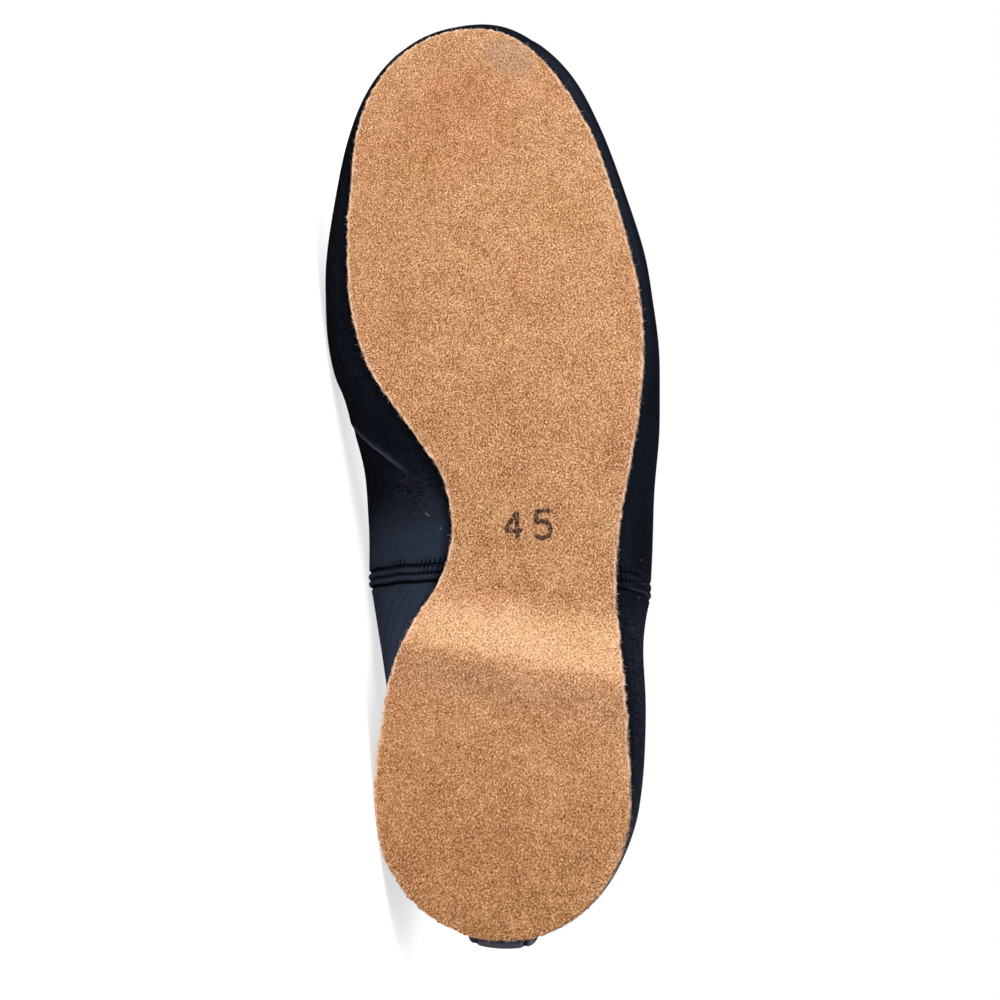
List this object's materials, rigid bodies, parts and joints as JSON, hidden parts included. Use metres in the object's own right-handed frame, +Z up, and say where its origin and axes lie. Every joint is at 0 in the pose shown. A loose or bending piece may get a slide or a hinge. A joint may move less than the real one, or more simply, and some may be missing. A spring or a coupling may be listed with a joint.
{
  "type": "jazz shoe",
  "caption": "Left jazz shoe: soft black leather slip-on upper over a one-piece tan suede sole with arch, toe spring and a low heel with a sloping breast, lying on its inner side.",
  "frame": {"origin": "centre of the underside of the bounding box, on the floor that the shoe lies on", "axes": "+Z up; the toe points to -X, the sole faces -Y, and the outer side of the shoe is up"},
  "size_m": [0.2972, 0.0696, 0.1046],
  "materials": {
    "upper_leather": "soft grained black leather with a low sheen",
    "sole_suede": "napped tan suede",
    "heel_block": "matt black",
    "insole_lining": "matt dark lining",
    "strip_leather": "soft grained black leather with a low sheen"
  },
  "bodies": {
    "root": {"upper": "upper_leather", "outsole": "sole_suede", "heel": "heel_block", "insole": "insole_lining", "back_strip": "strip_leather"}
  },
  "joints": []
}
